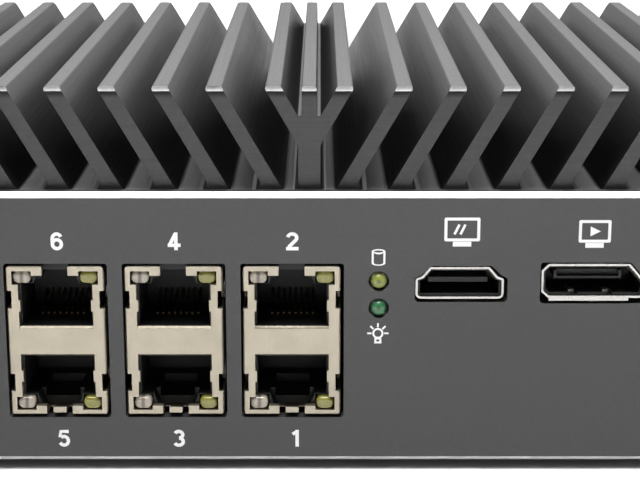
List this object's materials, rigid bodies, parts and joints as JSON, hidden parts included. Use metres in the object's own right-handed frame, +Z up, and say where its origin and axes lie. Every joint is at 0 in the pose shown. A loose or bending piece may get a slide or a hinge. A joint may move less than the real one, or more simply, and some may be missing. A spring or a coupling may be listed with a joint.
{
  "type": "firewall appliance",
  "caption": "Fanless metal network box with leaning heatsink fins on its lid, a row of stacked network jacks, status lights and video sockets in a bevelled front plate.",
  "frame": {"origin": "centre of the footprint, on the surface the feet stand on", "axes": "-Y faces out of the network port plate, +X to the right seen from the ports, +Z up through the fins"},
  "size_m": [0.2, 0.127, 0.0667],
  "materials": {
    "anodised_lid": "black-grey anodised, satin, extrusion lines along the fins",
    "anodised_case": "dark anodised, satin",
    "anodised_plate": "dark grey anodised, fine blasted grain, bare cut bevels",
    "painted_cover": "black powder coat",
    "foot_rubber": "matt",
    "black_steel": "black oxide",
    "screw_steel": "zinc plated",
    "board_laminate": "green solder mask",
    "chip_package": "moulded package",
    "thermal_compound": "grey paste",
    "spreader_metal": "milled",
    "lens_yellow": "tinted clear lens, unlit",
    "lens_green": "tinted clear lens, unlit",
    "black_plastic": "moulded",
    "nickel_shell": "nickel plated sheet",
    "jack_shield": "warm nickel plated sheet, satin",
    "button_steel": "turned",
    "contact_metal": "gold flashed",
    "choke_ferrite": "grey ferrite",
    "jack_light": "frosted light pipes, clear and yellow-green"
  },
  "bodies": {
    "case": {"heatsink": "anodised_lid", "side_panel_left": "anodised_case", "side_panel_right": "anodised_case", "front_plate": "anodised_plate", "rear_plate": "anodised_plate", "bottom_cover": "painted_cover", "feet": "foot_rubber", "front_plate_screws": "black_steel", "rear_plate_screws": "black_steel", "side_screws": "black_steel", "cover_screws": "black_steel", "mainboard": "board_laminate", "mainboard_screws": "screw_steel", "processor": "chip_package", "thermal_paste": "thermal_compound", "heat_spreader": "spreader_metal", "spreader_screws": "screw_steel", "jack_left_shield": "jack_shield", "jack_left_housing": "black_plastic", "jack_left_contacts": "contact_metal", "jack_left_lights": "jack_light", "jack_middle_shield": "jack_shield", "jack_middle_housing": "black_plastic", "jack_middle_contacts": "contact_metal", "jack_middle_lights": "jack_light", "jack_right_shield": "jack_shield", "jack_right_housing": "black_plastic", "jack_right_contacts": "contact_metal", "jack_right_lights": "jack_light", "status_led_upper": "lens_yellow", "status_led_lower": "lens_green", "led_holder": "black_plastic", "video_socket_a_shell": "nickel_shell", "video_socket_a_insert": "black_plastic", "video_socket_b_shell": "nickel_shell", "video_socket_b_insert": "black_plastic", "data_socket_front_shell": "nickel_shell", "data_socket_front_insert": "black_plastic", "data_socket_rear_shell": "nickel_shell", "data_socket_rear_insert": "black_plastic", "power_button_bezel": "button_steel", "power_switch": "black_plastic", "power_button_nut": "screw_steel", "reset_switch": "black_plastic", "power_inlet": "black_plastic", "power_inlet_pin": "contact_metal", "power_inlet_nut": "nickel_shell", "memory_socket": "black_plastic", "memory_module": "board_laminate", "storage_socket": "black_plastic", "storage_module": "board_laminate", "storage_screw": "contact_metal", "coin_cell": "screw_steel", "coin_cell_holder": "black_plastic", "network_chips": "chip_package", "chokes": "choke_ferrite", "hole_plugs": "black_plastic", "grounding_screw": "screw_steel"},
    "power_button": {"power_button_cap": "button_steel"},
    "reset_plunger": {"reset_button": "black_plastic"}
  },
  "joints": [
    {"name": "power_button_press", "type": "slide", "parent": "case", "child": "power_button", "axis": [0, -1, 0], "range_m": [0, 0.001], "stiffness_N_per_m": 400, "springref_m": -0.004},
    {"name": "reset_press", "type": "slide", "parent": "case", "child": "reset_plunger", "axis": [0, 1, 0], "range_m": [0, 0.0003], "stiffness_N_per_m": 1500, "springref_m": -0.0008}
  ]
}
